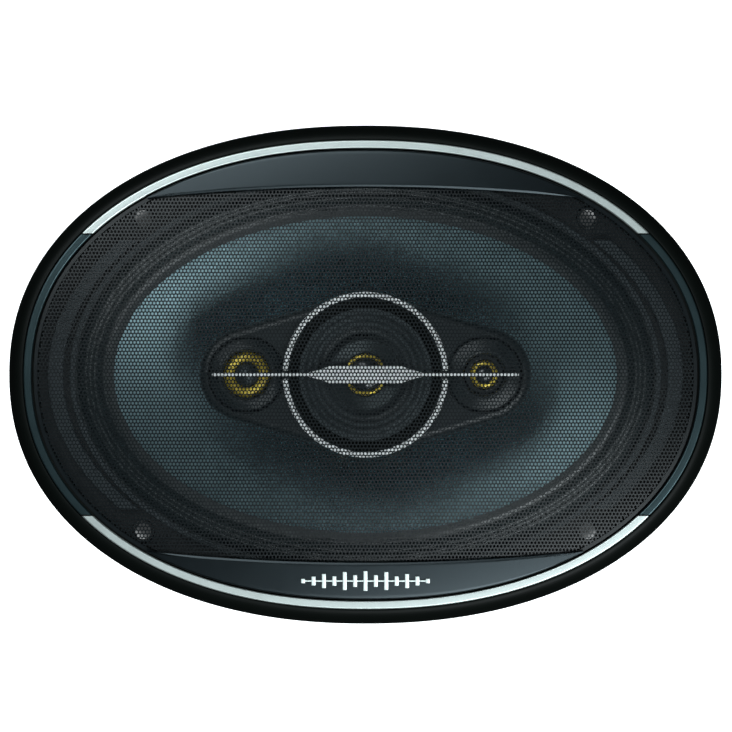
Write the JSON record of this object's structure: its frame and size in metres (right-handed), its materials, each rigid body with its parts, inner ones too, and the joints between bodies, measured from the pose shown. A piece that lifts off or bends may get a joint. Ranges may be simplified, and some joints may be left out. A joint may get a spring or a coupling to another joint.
{
  "type": "coaxial car speaker",
  "caption": "Oval coaxial car speaker: woofer in a stamped basket with a midrange and tweeters in a central pod, under a push-on perforated grille.",
  "frame": {"origin": "centre of the magnet yoke's rear face, which the speaker stands on when it lies face up", "axes": "+Z along the speaker's axis towards the listener, +X along the oval's long way, +Y across it, away from the terminals"},
  "size_m": [0.248, 0.1734, 0.1052],
  "materials": {
    "black_bezel": "moulded ABS, fine satin",
    "silver_paint": "silver lacquer on moulded plastic",
    "gunmetal_paint": "dark metallic lacquer on moulded plastic",
    "mesh_paint": "perforated steel sheet, black powder coat",
    "basket_paint": "pressed steel, black paint",
    "gasket_foam": "dense closed-cell foam",
    "cone_plastic": "injected polypropylene with mica",
    "surround_rubber": "butyl-type elastomer",
    "spider_cloth": "resin-dipped cotton weave",
    "coil_copper": "enamelled copper wire",
    "former_foil": "rolled foil",
    "plated_steel": "zinc plate over turned steel",
    "ferrite": "sintered, ground faces",
    "pod_plastic": "moulded ABS, satin",
    "amber_film": "formed polyimide film",
    "plug_plastic": "moulded, gloss",
    "mid_paper": "coated paper",
    "board_phenolic": "paper-phenolic laminate",
    "tinned_brass": "tin plate over brass",
    "tinsel_copper": "braided tinsel",
    "capacitor_sleeve": "shrunk film sleeve"
  },
  "bodies": {
    "frame": {"basket": "basket_paint", "gasket_left": "gasket_foam", "gasket_right": "gasket_foam", "surround_clamp_ring": "gasket_foam", "yoke": "plated_steel", "magnet": "ferrite", "top_plate": "plated_steel", "centre_post": "pod_plastic", "post_nut": "plated_steel", "surround": "surround_rubber", "spider": "spider_cloth", "terminal_board": "board_phenolic", "terminal_positive": "tinned_brass", "terminal_negative": "tinned_brass", "terminal_rivet_1": "tinned_brass", "terminal_rivet_2": "tinned_brass", "tinsel_lead_positive": "tinsel_copper", "tinsel_lead_negative": "tinsel_copper", "pod_lead_positive": "tinsel_copper", "pod_lead_negative": "tinsel_copper", "crossover_capacitor": "capacitor_sleeve", "pod_housing": "pod_plastic", "ring_trim_upper": "silver_paint", "ring_trim_lower": "silver_paint", "spear_trim": "silver_paint", "mid_frame": "pod_plastic", "mid_yoke": "plated_steel", "mid_magnet": "ferrite", "mid_top_plate": "plated_steel", "mid_surround": "surround_rubber", "centre_tweeter_horn": "pod_plastic", "centre_tweeter_plug": "plug_plastic", "left_tweeter_dish": "pod_plastic", "left_tweeter_plug": "plug_plastic", "left_tweeter_magnet": "ferrite", "right_tweeter_dish": "pod_plastic", "right_tweeter_guard": "plug_plastic", "right_tweeter_magnet": "ferrite"},
    "grille": {"grille_bezel": "black_bezel", "trim_top": "silver_paint", "trim_bottom": "silver_paint", "trim_left": "gunmetal_paint", "trim_right": "gunmetal_paint", "panel_top": "gunmetal_paint", "panel_bottom": "gunmetal_paint", "panel_emblem": "silver_paint", "grille_mesh": "mesh_paint"},
    "cone_assembly": {"woofer_cone": "cone_plastic", "voice_coil_former": "former_foil", "voice_coil_winding": "coil_copper", "cone_eyelet_positive": "tinned_brass", "cone_eyelet_negative": "tinned_brass"},
    "mid_cone_assembly": {"mid_cone": "mid_paper", "mid_voice_coil": "coil_copper"},
    "centre_diaphragm": {"centre_tweeter_diaphragm": "amber_film"},
    "left_diaphragm": {"left_tweeter_diaphragm": "amber_film"},
    "right_diaphragm": {"right_tweeter_diaphragm": "amber_film"}
  },
  "joints": [
    {"name": "grille_pull_off", "type": "slide", "parent": "frame", "child": "grille", "axis": [0, 0, 1], "range_m": [0, 0.05]},
    {"name": "cone_travel", "type": "slide", "parent": "frame", "child": "cone_assembly", "axis": [0, 0, 1], "range_m": [-0.0045, 0.0045], "stiffness_N_per_m": 2200, "deforming": ["surround", "spider", "tinsel_lead_positive", "tinsel_lead_negative", "pod_lead_positive", "pod_lead_negative"]},
    {"name": "mid_travel", "type": "slide", "parent": "frame", "child": "mid_cone_assembly", "axis": [0, 0, 1], "range_m": [-0.0006, 0.0006], "stiffness_N_per_m": 1500, "deforming": ["mid_surround"]},
    {"name": "centre_tweeter_travel", "type": "slide", "parent": "frame", "child": "centre_diaphragm", "axis": [0, 0, 1], "range_m": [-0.0002, 0.0002], "stiffness_N_per_m": 60},
    {"name": "left_tweeter_travel", "type": "slide", "parent": "frame", "child": "left_diaphragm", "axis": [0, 0, 1], "range_m": [-0.00025, 0.00025], "stiffness_N_per_m": 120},
    {"name": "right_tweeter_travel", "type": "slide", "parent": "frame", "child": "right_diaphragm", "axis": [0, 0, 1], "range_m": [-0.0002, 0.0002], "stiffness_N_per_m": 80}
  ]
}
